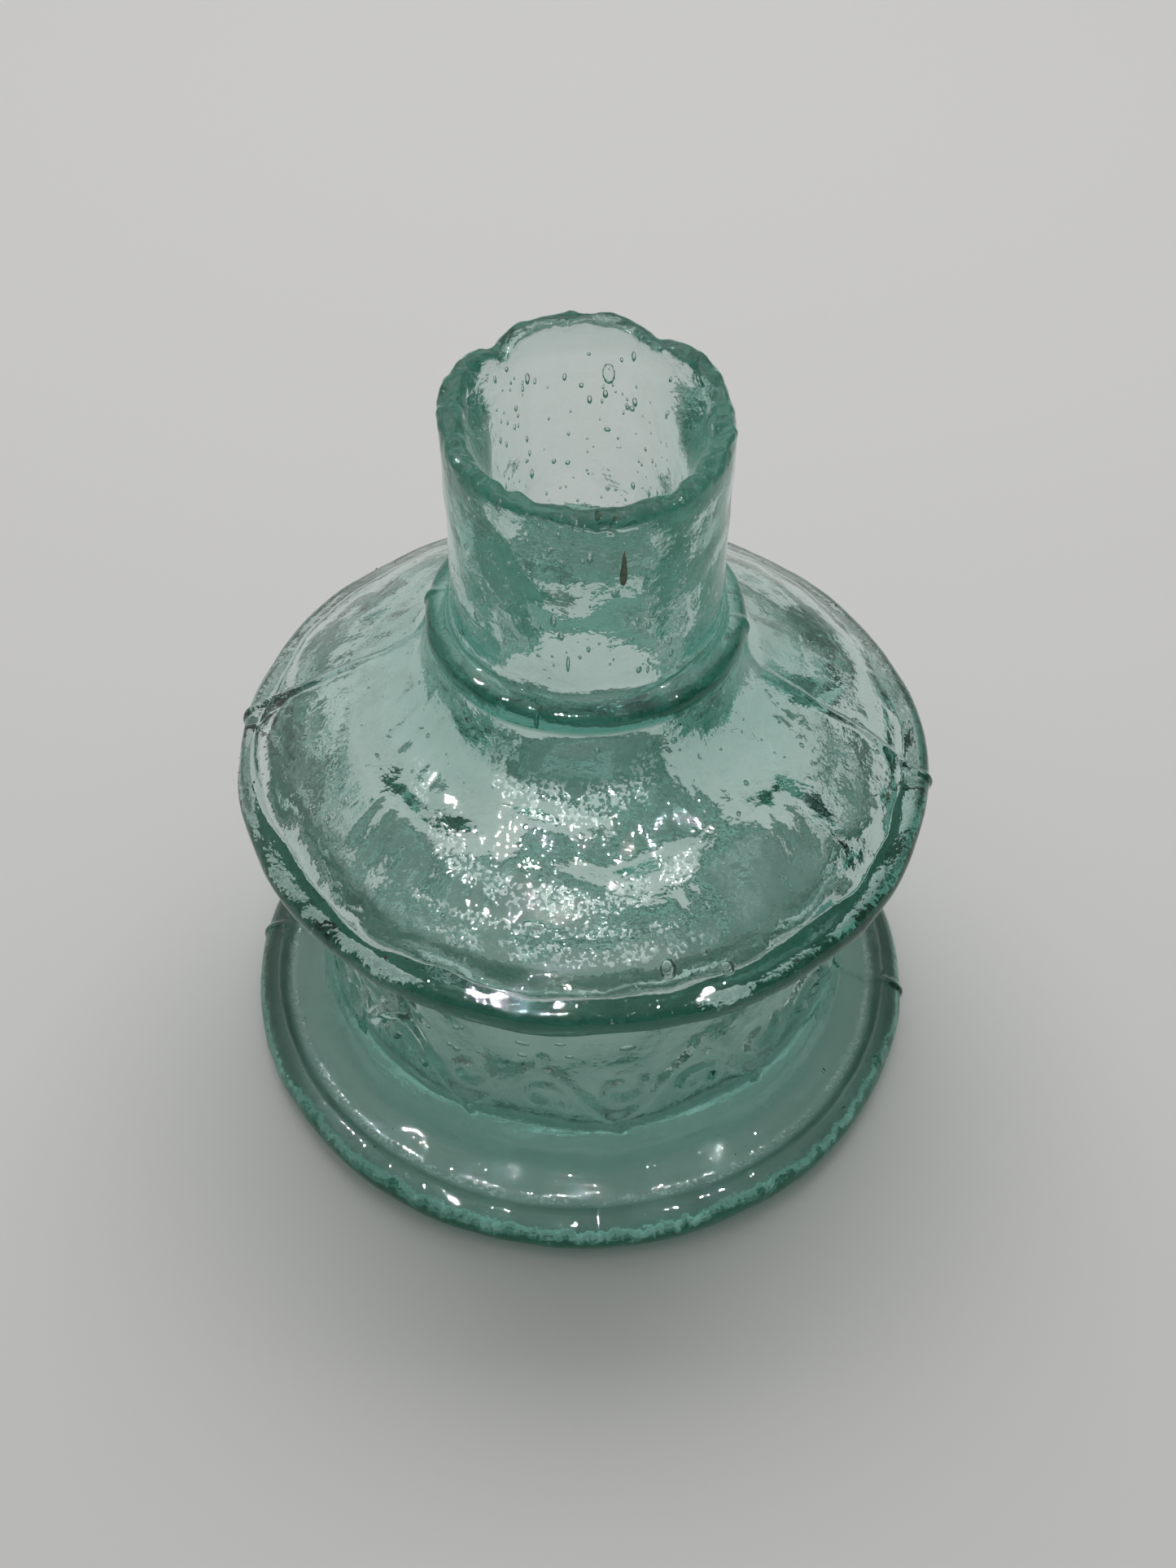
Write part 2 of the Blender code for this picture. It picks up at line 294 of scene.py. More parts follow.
DOME_RING_PITCH = 5.5
SEAM_HALF_WIDTH = 0.34
SEAM_HEIGHT = 0.28
VINE_Z = 13.4
VINE_SWING = 3.0
VINE_WAVES = 10
VINE_FROM, VINE_TO = 188.0, 352.0
VINE_STEM = 0.44
VINE_PROUD = 0.4
CURL_RADIUS = 1.9
LEAF_LENGTH = 2.3
LEAF_WIDTH = 0.44


def seam_marks(place, radius, height, azimuth):
    """The two raised lines that the halves of the mould left down the outside."""
    wander = 0.5 * np.sin(height * 0.55) + 0.3 * np.sin(height * 1.3 + 1.0)
    total = np.zeros_like(radius)
    for seam in SEAM_AZIMUTHS:
        off = radius * np.radians(away_from(azimuth, seam + wander))
        total += np.exp(-((off / SEAM_HALF_WIDTH) ** 2))
    return SEAM_HEIGHT * total * smooth_step(radius, 9.0, 13.0)


def vine_lines():
    """The raised line of the vine, as points of (length round the waist, height) with widths."""
    low, high = (math.radians(a) * WAIST_RADIUS for a in (VINE_FROM, VINE_TO))
    pitch = (high - low) / VINE_WAVES
    lines = []
    length = np.linspace(low, high, 700)
    height = VINE_Z + VINE_SWING * np.sin((length - low) * math.pi / pitch)
    lines.append((np.stack([length, height], axis=1), np.full(len(length), VINE_STEM)))
    for wave in range(VINE_WAVES):
        crest = low + (wave + 0.5) * pitch
        side = 1 if wave % 2 == 0 else -1
        turn = np.linspace(-0.5, 4.6, 60)
        size = CURL_RADIUS * (1 - 0.13 * turn)
        middle = (crest + 0.3, VINE_Z - side * 0.6)
        curl = np.stack([middle[0] + size * np.cos(turn), middle[1] + side * size * np.sin(turn)], axis=1)
        lines.append((curl, VINE_STEM * np.linspace(0.95, 0.7, len(turn))))
        reach = np.linspace(0.0, 1.0, 30)
        foot = (crest - 1.3, VINE_Z + side * (VINE_SWING - 0.3))
        bow = np.sin(math.pi * reach)
        leaf = np.stack([foot[0] + 1.5 * reach + 0.5 * bow, foot[1] + side * LEAF_LENGTH * reach], axis=1)
        lines.append((leaf, LEAF_WIDTH * (0.6 + 0.4 * bow)))
    return lines


def vine_marks(height, azimuth, outside):
    """How proud the vine stands at each point of the waist."""
    proud = np.zeros_like(height)
    near = np.flatnonzero((outside > 0.9) & (height > VINE_Z - 6.5) & (height < VINE_Z + 6.5))
    spots = np.stack([np.radians(azimuth[near] % 360.0) * WAIST_RADIUS, height[near]], axis=1)
    total = np.zeros(len(near))
    for line, width in vine_lines():
        low, high = line.min(axis=0) - 1.6, line.max(axis=0) + 1.6
        close = np.flatnonzero(((spots > low) & (spots < high)).all(axis=1))
        gap = np.linalg.norm(spots[close, None, :] - line[None, :, :], axis=2) / width[None, :]
        total[close] = np.maximum(total[close], np.exp(-gap.min(axis=1) ** 3))
    proud[near] = VINE_PROUD * total
    return proud


def outline_normals(outline):
    """The direction out of the glass at each point of the outline."""
    run = np.gradient(outline, axis=0)
    run /= np.linalg.norm(run, axis=1)[:, None]
    return np.stack([-run[:, 1], run[:, 0]], axis=1)


GRAIN_RINGS = (  # azimuths it runs between, radius at the front, drop at 50 degrees, half-width, level
    (-126.0, -62.0, 14.2, 5.5, 1.0, 1.0),
    (-152.0, -60.0, 20.0, 4.6, 0.7, 1.0),
    (-152.0, -66.0, 21.7, -0.8, 0.3, 0.9),
    (-124.0, -62.0, 23.0, -0.3, 0.5, 1.0),
)
GRAIN_FRONT = -93.0
GRAIN_END = 8.0
GRAIN_EVERYWHERE = 0.08
WORN_RADIUS = 25.0
WORN_HALF_WIDTH = 0.35
WORN_LEVEL = 0.9


def grain_level(radius, height, azimuth, outside):
    """How strong the fine stipple is, from 0 to 1: in arcs on the shoulder, and round the worn foot."""
    grain = np.zeros_like(radius)
    for start, end, middle, drop, half, level in GRAIN_RINGS:
        ring = middle - drop * (away_from(azimuth, GRAIN_FRONT) / 50.0) ** 2
        share = np.exp(-(((radius - ring) / half) ** 2))
        ends = smooth_step(away_from(azimuth, start), 0.0, GRAIN_END)
        ends *= smooth_step(away_from(end, azimuth), 0.0, GRAIN_END)
        grain = np.maximum(grain, level * share * ends)
    everywhere = GRAIN_EVERYWHERE * (1 - smooth_step(height, 42.5, 44.0))
    grain = np.maximum(grain, everywhere) * smooth_step(height, 29.0, 31.0)
    worn = WORN_LEVEL * np.exp(-(((radius - WORN_RADIUS) / WORN_HALF_WIDTH) ** 2))
    worn *= (1 - smooth_step(height, 4.2, 4.6)) * smooth_step(height, 2.5, 3.0)
    return np.maximum(grain, worn) * (outside > 0.5)


# How strong the painted shade is in each place: the glass's colour is painted darker there.
RIM_PAINTED_SHADE = 0.4
RIM_PAINTED_SHADE_ON_RIGHT = 0.6
FOOT_PAINTED_SHADE = 0.75
NECK_PAINTED_SHADE = 0.18
LIP_PAINTED_SHADE = 0.2
FILLET_PAINTED_SHADE = 0.14
PAINTED_SHADE_PATCHES = (  # azimuth, radius and size of the patches of painted shade on the shoulder, and how dark each is
    (-123.0, 17.0, 2.9, 0.2),
    (-64.0, 16.2, 2.5, 0.16),
)


def painted_shade_level(azimuth, radius, height, outside):
    """Painted shade in the glass's colour, from 0 to 1: most in the collar's bead and the noses of the
    rim and foot.
    """
    # Painted shade on the collar's bead, where the thick ring looks dark.
    bead = smooth_step(height, 43.2, 43.8) * (1 - smooth_step(height, 45.4, 45.8))
    bead *= smooth_step(radius, 10.2, 10.9)
    # Painted shade on the foot's nose.
    foot = FOOT_PAINTED_SHADE * smooth_step(radius, 25.1, 25.7) * (1 - smooth_step(height, 4.2, 4.6))
    # Painted shade on the rim's nose, darker on the right.
    on_right = 1 - smooth_step(np.abs(away_from(azimuth, -15)), 25, 60)
    rim = smooth_step(radius, 25.2, 25.9) * smooth_step(height, 27.5, 28.0)
    rim *= (1 - smooth_step(height, 30.6, 31.2)) * (RIM_PAINTED_SHADE + RIM_PAINTED_SHADE_ON_RIGHT * on_right)
    # Painted shade on the neck and the lip.
    neck = NECK_PAINTED_SHADE * smooth_step(height, 46.0, 47.5) + LIP_PAINTED_SHADE * smooth_step(height, 60.5, 62.0)
    # Painted shade in the fillet under the collar.
    fillet = FILLET_PAINTED_SHADE * smooth_step(height, 38.0, 40.0) * (1 - smooth_step(height, 42.8, 43.4))
    total = bead + foot + rim + neck + fillet
    # Painted dark patches on the shoulder.
    for centre, middle, size, level in PAINTED_SHADE_PATCHES:
        across = radius * np.radians(away_from(azimuth, centre))
        total = total + level * np.exp(-(np.hypot(across, radius - middle) / size) ** 4) * (height > 30.0)
    return np.clip(total, 0.0, 1.0) * (outside > 0.5)


def body_swell(place, radius, height, azimuth, outside):
    """How far each point of the glass stands out from the turned outline."""
    swell = ripples(place, *SKIN_RIPPLES) * outside
    swell += ripples(place, *FINE_SKIN_RIPPLES) * outside
    streaks = np.stack([np.radians(azimuth) * STREAK_RADIUS, radius * STREAK_STRETCH, 0 * radius], axis=1)
    on_dome = outside * smooth_step(height, 31.0, 33.0) * (1 - smooth_step(height, 40.0, 42.0))
    swell += ripples(streaks, *SHOULDER_STREAKS) * on_dome
    inside = (1 - outside) * smooth_step(height, 8.0, 15.0) * (1 - smooth_step(height, 58.0, 62.0))
    swell += ripples(place, *BORE_RIPPLES) * inside
    swell += ripples(place, *FINE_BORE_RIPPLES) * inside
    dome = (1 - outside) * smooth_step(height, 29.0, 32.0) * smooth_step(radius, 10.5, 13.0)
    swell += ripples(place, *CEILING_RIPPLES) * dome
    swell += DOME_RING_HEIGHT * np.sin((radius - 13.0) * (2 * math.pi / DOME_RING_PITCH)) * dome
    around, along = HOLLOW_HALF_SIZES
    off = radius * np.radians(away_from(azimuth, HOLLOW_AZIMUTH)) / around
    swell -= HOLLOW_DEPTH * np.exp(-(off**4) - ((radius - HOLLOW_RADIUS) / along) ** 4) * dome
    bottom = (1 - outside) * (1 - smooth_step(height, 6.0, 12.0))
    swell += ripples(place, *BOTTOM_RIPPLES) * bottom
    swell *= smooth_step(radius, 0.0, 4.0)
    swell += seam_marks(place, radius, height, azimuth) * outside * smooth_step(height, 0.5, 3.0)
    swell += vine_marks(height, azimuth, outside)
    foot_top = outside * (1 - smooth_step(height, 4.6, 5.2)) * smooth_step(height, 2.6, 3.2)
    for middle, half, ridge in FOOT_RINGS:
        swell += ridge * np.exp(-(((radius - middle) / half) ** 2)) * foot_top
    throat = smooth_step(height, 39.0, 50.0) * (1 - smooth_step(height, 58.8, 62.7)) * (1 - outside)
    swell += throat_change(azimuth) * throat
    hollow = np.exp(-((away_from(azimuth, HOLLOW_RIM_AZIMUTH) / HOLLOW_RIM_HALF_ANGLE) ** 4))
    thick = RIM_FILL - RIM_HOLLOW * hollow
    return swell + thick * (1 - outside) * smooth_step(radius, 21.5, 24.5)


def closed_mesh(name, points, rows):
    """A mesh over rows of points round the axis, whose first and last rows each close to one point."""
    first = points[:COLUMNS].mean(axis=0)
    last = points[-COLUMNS:].mean(axis=0)
    body = points[COLUMNS:-COLUMNS]
    grid = np.arange((rows - 2) * COLUMNS).reshape(rows - 2, COLUMNS)
    beside = np.roll(grid, -1, axis=1)
    quads = np.stack([grid[:-1], grid[1:], beside[1:], beside[:-1]], axis=2).reshape(-1, 4)
    floor_fan = [(len(body), int(a), int(b)) for a, b in zip(grid[0], beside[0])]
    foot_fan = [(len(body) + 1, int(b), int(a)) for a, b in zip(grid[-1], beside[-1])]
    mesh = bpy.data.meshes.new(name)
    vertices = np.concatenate([body, [first, last]])
    mesh.from_pydata(vertices.tolist(), [], quads.tolist() + floor_fan + foot_fan)
    mesh.update()
    shape = bmesh.new()
    shape.from_mesh(mesh)
    bmesh.ops.recalc_face_normals(shape, faces=shape.faces)
    if shape.calc_volume(signed=True) < 0:
        bmesh.ops.reverse_faces(shape, faces=shape.faces)
    shape.to_mesh(mesh)
    shape.free()
    mesh.shade_smooth()
    return mesh


def glass_body():
    """The whole bottle as one closed skin, with its grain and painted-shade levels kept on its points."""
    outline, side = body_rows()
    normals = outline_normals(outline)
    rows = len(outline)
    radius = np.repeat(outline[:, 0], COLUMNS)
    height = np.repeat(outline[:, 1], COLUMNS)
    normal_r = np.repeat(normals[:, 0], COLUMNS)
    normal_z = np.repeat(normals[:, 1], COLUMNS)
    outside = np.repeat(side, COLUMNS)
    azimuth = np.tile(column_azimuths(), rows)
    turn = np.radians(azimuth)
    place = np.stack([radius * np.cos(turn), radius * np.sin(turn), height], axis=1)
    swell = body_swell(place, radius, height, azimuth, outside)
    lip_share = np.clip((height - LIP_WORK_Z) / (LIP_Z - LIP_WORK_Z), 0.0, 1.0)
    rise, bulge = lip_change(azimuth)
    rough = ripples(place, *LIP_RIPPLES) + ripples(place, *FINE_LIP_RIPPLES)
    rough *= smooth_step(height, 61.4, LIP_Z)
    on_floor = (outside > 0.5) & (height < 0.02)
    radius = radius + normal_r * swell + lip_share * bulge + normal_r * rough
    height = height + normal_z * swell + lip_share * rise + normal_z * rough
    height = np.where(on_floor, 0.0, np.clip(height, 0.0, CAD_HIGH[2]))
    points = np.stack([radius * np.cos(turn), radius * np.sin(turn), height], axis=1) * MM
    mesh = closed_mesh("bottle_glass", points, rows)
    grain = grain_level(radius, height, azimuth, outside)
    painted_shade = painted_shade_level(azimuth, radius, height, outside)
    for name, values in (("grain", grain), ("painted_shade", painted_shade)):
        values = np.concatenate([values[COLUMNS:-COLUMNS], [0.0, 0.0]])
        mesh.attributes.new(name, "FLOAT", "POINT").data.foreach_set("value", values.astype(np.float32))
    body_object = bpy.data.objects.new("bottle_glass", mesh)
    bpy.context.scene.collection.objects.link(body_object)
    return body_object


# ---------------------------------------------------------------- bubbles and specks in the glass
BUBBLE_ZONES = (  # how many, lowest and highest point, smallest and largest half-size, how drawn out
    (420, 47.5, 61.5, 0.08, 0.24, 2.2),
    (260, 31.5, 42.5, 0.08, 0.26, 1.3),
    (40, 28.4, 31.0, 0.07, 0.22, 0.7),
    (70, 8.0, 27.0, 0.08, 0.28, 0.7),
    (34, 0.9, 4.4, 0.07, 0.24, 0.8),
)
LARGE_BUBBLES = (  # azimuth, radius, height, then half-sizes around, up the wall and through it
    (-103, 9.95, 52.5, 0.24, 0.65, 0.22),
    (-97, 9.95, 48.6, 0.14, 0.82, 0.13),
    (-67, 9.95, 47.4, 0.22, 0.36, 0.2),
    (-63, 9.95, 47.2, 0.12, 0.42, 0.12),
    (81, 9.95, 59.3, 0.5, 1.0, 0.12),
    (120, 9.95, 59.6, 0.22, 0.5, 0.18),
    (69, 9.95, 56.6, 0.26, 0.3, 0.2),
    (81, 9.95, 54.2, 0.28, 0.22, 0.18),
    (-107, 11.85, 44.4, 0.2, 0.75, 0.2),
    (-99, 21.6, 34.3, 0.9, 0.42, 0.3),
    (-75, 24.1, 32.2, 0.62, 0.85, 0.3),
    (-65, 25.0, 31.6, 0.5, 0.6, 0.3),
    (-62, 16.9, 37.5, 0.4, 0.3, 0.25),
    (-102, 21.3, 19.2, 0.6, 0.22, 0.2),
    (-94, 21.3, 19.8, 0.5, 0.2, 0.2),
    (-80, 21.3, 18.9, 0.7, 0.33, 0.25),
    (-102, 21.3, 17.5, 0.42, 0.2, 0.2),
    (-92, 21.3, 18.2, 0.36, 0.16, 0.2),
    (-117, 21.3, 15.8, 0.36, 0.3, 0.2),
)
WALL_CLEARANCE = 0.16
DIRT_ZONES = (  # how many grains, between which heights, and outside which radius
    (46, 30.0, 31.6, 24.0),
    (14, 41.5, 43.5, 11.0),
    (24, 2.0, 4.2, 22.0),
)
ASH_AZIMUTH = -75.0
ASH_Z = 57.2
ASH_DEPTH = 0.75
ASH_HALF_SIZES = (0.22, 1.6, 0.2)


def ball(detail):
    """A unit ball's points and triangles."""
    shape = bmesh.new()
    bmesh.ops.create_icosphere(shape, subdivisions=detail, radius=1.0)
    points = np.array([v.co[:] for v in shape.verts])
    faces = np.array([[v.index for v in f.verts] for f in shape.faces])
    shape.free()
    return points, faces


def wall_frame(row, azimuth, path, normals, depth):
    """The point that deep in the wall at a row of the outer outline, and its three directions."""
    turn = math.radians(azimuth)
    out = np.array([math.cos(turn), math.sin(turn), 0.0])
    around = np.array([-math.sin(turn), math.cos(turn), 0.0])
    through = out * normals[row, 0] + np.array([0.0, 0.0, normals[row, 1]])
    along = np.cross(through, around)
    place = out * path[row, 0] + np.array([0.0, 0.0, path[row, 1]]) - through * depth
    return place, around, along, through


def outer_path():
    """The rounded outer outline with its normals and the wall's thickness at each point."""
    inner = inner_outline()
    path = melted(inner + outer_outline())
    inner_length = np.hypot(*np.diff(np.array(inner), axis=0).T).sum()
    start = int(inner_length / FINE_STEP) + 10
    normals = outline_normals(path)
    outer, outer_normals = path[start::4], normals[start::4]
    cavity = path[: start - 20 : 4]
    thickness = np.linalg.norm(outer[:, None, :] - cavity[None, :, :], axis=2).min(axis=1)
    return outer, outer_normals, thickness


def mesh_piece(name, shells, material, inward=False, smooth=True):
    """One object from a list of (points, triangles)."""
    points, faces, count = [], [], 0
    for shell_points, shell_faces in shells:
        points.append(shell_points)
        faces.append(shell_faces + count)
        count += len(shell_points)
    faces = np.concatenate(faces)
    mesh = bpy.data.meshes.new(name)
    if inward:
        faces = faces[:, ::-1]
    mesh.from_pydata((np.concatenate(points) * MM).tolist(), [], faces.tolist())
    mesh.update()
    if smooth:
        mesh.shade_smooth()
    mesh.materials.append(material)
    piece = bpy.data.objects.new(name, mesh)
    bpy.context.scene.collection.objects.link(piece)
    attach(piece, "root")
    return piece


def seed_bubbles(material):
    """The air bubbles held in the glass, each a closed shell whose faces look in at its air."""
    chance = np.random.default_rng(41)
    path, normals, thickness = outer_path()
    points, faces = ball(2)
    shells = []

    def add(row, azimuth, around_size, along_size, through_size, depth):
        place, around, along, through = wall_frame(row, azimuth, path, normals, depth)
        sized = points[:, :1] * around * around_size + points[:, 1:2] * along * along_size
        shells.append((place + sized + points[:, 2:] * through * through_size, faces))

    for azimuth, radius, height, around_size, along_size, through_size in LARGE_BUBBLES:
        row = int(np.argmin(np.hypot(path[:, 0] - radius, path[:, 1] - height)))
        add(row, azimuth, around_size, along_size, through_size, through_size + 0.35)
    for count, low, high, smallest, largest, stretch in BUBBLE_ZONES:
        rows = np.flatnonzero((path[:, 1] > low) & (path[:, 1] < high) & (path[:, 0] > 9.0))
        for _ in range(count):
            row = int(chance.choice(rows))
            size = smallest + (largest - smallest) * chance.random() ** 2.5
            drawn = 1.0 + (stretch - 1.0) * chance.random()
            azimuth = chance.uniform(0.0, 360.0)
            room = min(thickness[row], 2.6) - 2 * (size + WALL_CLEARANCE)
            depth = size + WALL_CLEARANCE + max(room, 0.0) * chance.random()
            add(row, azimuth, size, size * drawn, size * 0.8, depth)
    return mesh_piece("seed_bubbles", shells, material, inward=True)


def ash_streak(material):
    """A brown splinter of furnace ash drawn out in the neck's front wall."""
    path, normals, _ = outer_path()
    row = int(np.argmin(np.hypot(path[:, 0] - NECK_RADIUS, path[:, 1] - ASH_Z)))
    place, around, along, through = wall_frame(row, ASH_AZIMUTH, path, normals, ASH_DEPTH)
    wide, tall, deep = ASH_HALF_SIZES
    points, faces = ball(3)
    taper = 1.0 - 0.55 * points[:, 1:2]
    shape = place + points[:, :1] * taper * around * wide + points[:, 1:2] * along * tall
    shape = shape + points[:, 2:] * taper * through * deep
    return mesh_piece("ash_streak", [(shape, faces)], material)


def dirt_specks(material):
    """Grains of dirt lodged in the worn edge of the rim, the collar and the foot."""
    chance = np.random.default_rng(52)
    path, normals, _ = outer_path()
    points, faces = ball(1)
    shells = []
    for count, low, high, nearest in DIRT_ZONES:
        rows = np.flatnonzero((path[:, 1] > low) & (path[:, 1] < high) & (path[:, 0] > nearest))
        for _ in range(count):
            row = int(chance.choice(rows))
            size = 0.03 + 0.08 * chance.random() ** 2
            place, around, along, through = wall_frame(row, chance.uniform(0, 360), path, normals, -0.02)
            grain = points * chance.uniform(0.7, 1.3, size=(len(points), 1)) * size
            shell = place + grain[:, :1] * around * chance.uniform(0.8, 1.8) + grain[:, 1:2] * along
            shells.append((shell + grain[:, 2:] * through * 0.7, faces))
    return mesh_piece("dirt_specks", shells, material, smooth=False)


# ---------------------------------------------------------------- materials
def node(tree, kind, **values):
    """A new node with the given input values, by the input's name with _ for a space."""
    made = tree.nodes.new(kind)
    for name, value in values.items():
        made.inputs[name.replace("_", " ")].default_value = value
    return made


def maths(tree, operation, first, second):
    """The result of the operation on two values, each a number or a socket."""
    made = tree.nodes.new("ShaderNodeMath")
    made.operation = operation
    for slot, value in enumerate((first, second)):
        if isinstance(value, (int, float)):
            made.inputs[slot].default_value = value
        else:
            tree.links.new(value, made.inputs[slot])
    return made.outputs[0]


def mapped(tree, value, low, high, to_low, to_high):
    """The value taken smoothly from one span to another."""
    made = tree.nodes.new("ShaderNodeMapRange")
    made.interpolation_type = "SMOOTHSTEP"
    tree.links.new(value, made.inputs["Value"])
    made.inputs["From Min"].default_value = low
    made.inputs["From Max"].default_value = high
    made.inputs["To Min"].default_value = to_low
    made.inputs["To Max"].default_value = to_high
    return made.outputs[0]


GLASS_IOR = 1.52
CLEAR_TINT = (0.97, 1.0, 0.99, 1.0)
# The colour of the painted shade.
PAINTED_SHADE_COLOUR = (0.04, 0.24, 0.18, 1.0)
ABSORPTION_COLOUR = (0.0, 0.60, 0.48, 1.0)
ABSORPTION_DENSITY = 56.0
HAMMERED_SCALE = 620.0  # noise cells per metre, as in the other scales here
HAMMERED_DEPTH = 0.0002  # in metres
PATCH_SCALE = 500.0
STIPPLE_SCALE = 3000.0
STIPPLE_DEPTH = 0.0001
GLITTER_ROUGHNESS = 0.5


def level_on_points(tree, name):
    """A level kept on the mesh's points, read by its name."""
    made = tree.nodes.new("ShaderNodeAttribute")
    made.attribute_name = name
    return made.outputs["Fac"]


def glass_material():
    """Aqua glass: hammered all over, stippled into glitter where the mould was grainy, with painted shade
    in its colour.
    """
    material = bpy.data.materials.new("aqua_glass")
    material.use_nodes = True
    tree = material.node_tree
    shader = tree.nodes["Principled BSDF"]
    shader.inputs["IOR"].default_value = GLASS_IOR
    shader.inputs["Transmission Weight"].default_value = 1.0
    place = tree.nodes.new("ShaderNodeTexCoord").outputs["Object"]
    # The colour runs from the clear glass to painted shade by the painted-shade level on the points.
    colours = tree.nodes.new("ShaderNodeValToRGB")
    colours.color_ramp.elements[0].color = CLEAR_TINT
    colours.color_ramp.elements[1].color = PAINTED_SHADE_COLOUR
    tree.links.new(level_on_points(tree, "painted_shade"), colours.inputs[0])
    tree.links.new(colours.outputs[0], shader.inputs["Base Color"])
    hammered = node(tree, "ShaderNodeTexNoise", Scale=HAMMERED_SCALE, Detail=3.0)
    stipple = node(tree, "ShaderNodeTexNoise", Scale=STIPPLE_SCALE, Detail=1.0)
    patches = node(tree, "ShaderNodeTexNoise", Scale=PATCH_SCALE, Detail=3.0)
    for texture in (hammered, stipple, patches):
        tree.links.new(place, texture.inputs["Vector"])
    broken = mapped(tree, patches.outputs["Fac"], 0.36, 0.56, 0.15, 1.0)
    grain = maths(tree, "MULTIPLY", level_on_points(tree, "grain"), broken)
    sparkle = maths(tree, "MULTIPLY", grain, mapped(tree, stipple.outputs["Fac"], 0.47, 0.62, 0.0, 1.0))
    fine = node(tree, "ShaderNodeBump", Distance=STIPPLE_DEPTH)
    tree.links.new(grain, fine.inputs["Strength"])
    tree.links.new(stipple.outputs["Fac"], fine.inputs["Height"])
    wide = node(tree, "ShaderNodeBump", Distance=HAMMERED_DEPTH, Strength=0.6)
    tree.links.new(hammered.outputs["Fac"], wide.inputs["Height"])
    tree.links.new(fine.outputs["Normal"], wide.inputs["Normal"])
    tree.links.new(wide.outputs["Normal"], shader.inputs["Normal"])
    tree.links.new(mapped(tree, sparkle, 0.0, 0.5, 0.0, GLITTER_ROUGHNESS), shader.inputs["Roughness"])
    volume = node(tree, "ShaderNodeVolumeAbsorption", Color=ABSORPTION_COLOUR, Density=ABSORPTION_DENSITY)
    tree.links.new(volume.outputs["Volume"], tree.nodes["Material Output"].inputs["Volume"])
    return material


def bubble_material():
    """The skin between the glass and the air in a bubble."""
    material = bpy.data.materials.new("bubble_skin")
    material.use_nodes = True
    tree = material.node_tree
    shader = tree.nodes["Principled BSDF"]
    shader.inputs["Base Color"].default_value = (1.0, 1.0, 1.0, 1.0)
    shader.inputs["IOR"].default_value = GLASS_IOR
    shader.inputs["Transmission Weight"].default_value = 1.0
    place = tree.nodes.new("ShaderNodeTexCoord").outputs["Object"]
    uneven = node(tree, "ShaderNodeTexNoise", Scale=1500.0, Detail=1.0)
    tree.links.new(place, uneven.inputs["Vector"])
    tree.links.new(mapped(tree, uneven.outputs["Fac"], 0.3, 0.8, 0.0, 0.04), shader.inputs["Roughness"])
    return material


def grit_material(name, dark, light, roughness):
    """Mottled brown matter: ash in the glass, or dirt on it."""
    material = bpy.data.materials.new(name)
    material.use_nodes = True
    tree = material.node_tree
    shader = tree.nodes["Principled BSDF"]
    place = tree.nodes.new("ShaderNodeTexCoord").outputs["Object"]
    mottle = node(tree, "ShaderNodeTexNoise", Scale=2600.0, Detail=3.0)
    tree.links.new(place, mottle.inputs["Vector"])
    ramp = tree.nodes.new("ShaderNodeValToRGB")
    ramp.color_ramp.elements[0].position = 0.35
    ramp.color_ramp.elements[0].color = dark
    ramp.color_ramp.elements[1].position = 0.7
    ramp.color_ramp.elements[1].color = light
    tree.links.new(mottle.outputs["Fac"], ramp.inputs[0])
    tree.links.new(ramp.outputs[0], shader.inputs["Base Color"])
    shader.inputs["Roughness"].default_value = roughness
    return material


def floor_material():
    material = bpy.data.materials.new("pale_floor")
    material.use_nodes = True
    shader = material.node_tree.nodes["Principled BSDF"]
    shader.inputs["Base Color"].default_value = (0.62, 0.617, 0.61, 1.0)
    shader.inputs["Roughness"].default_value = 0.7
    shader.inputs["Specular IOR Level"].default_value = 0.2
    return material


# ---------------------------------------------------------------- floor, light, camera, in metres
FLOOR_HALF = 1.5
FLOOR_LEVEL = -0.0001


def make_floor():
    mesh = bpy.data.meshes.new("floor")
    square = ((-1, -1), (1, -1), (1, 1), (-1, 1))
    corners = [(x * FLOOR_HALF, y * FLOOR_HALF, FLOOR_LEVEL) for x, y in square]
    mesh.from_pydata(corners, [], [(0, 1, 2, 3)])
    mesh.materials.append(floor_material())
    floor = bpy.data.objects.new("floor", mesh)
    bpy.context.scene.collection.objects.link(floor)


def area_lamp(name, place, aim, size, power):
    """A lamp that faces the point aim; its size is in metres and its power in watts."""
    lamp = bpy.data.lights.new(name, "AREA")
    lamp.shape = "RECTANGLE"
    lamp.size, lamp.size_y = size
    lamp.energy = power
    stand = bpy.data.objects.new(name, lamp)
    stand.location = place
    stand.rotation_euler = (Vector(aim) - Vector(place)).to_track_quat("-Z", "Y").to_euler()
    bpy.context.scene.collection.objects.link(stand)
    return stand


ROOM_FRONT, ROOM_BACK = 0.12, 0.42  # how bright the room is on each side
ROOM_LEFT, ROOM_RIGHT = 1.25, 0.75
ROOM_ABOVE = 0.4
ORIGIN = (0.0, 0.0, 0.0)
WINDOW_PLACE = (0.0, 0.20, 0.38)
WINDOW_SIZE = (0.5, 0.22)
WINDOW_POWER = 0.85
SHADOW_POWER = 0.15
GLINT_LAMPS = (  # azimuth and power
    (-200, 1.4),
    (-165, 1.2),
    (-130, 1.0),
    (-95, 1.2),
    (-55, 1.3),
    (-20, 1.3),
)
GLINT_AWAY = 0.26
GLINT_UP = 0.43
GLINT_AIM = (0.0, -0.015, 0.037)
GLINT_SIZE = 0.010


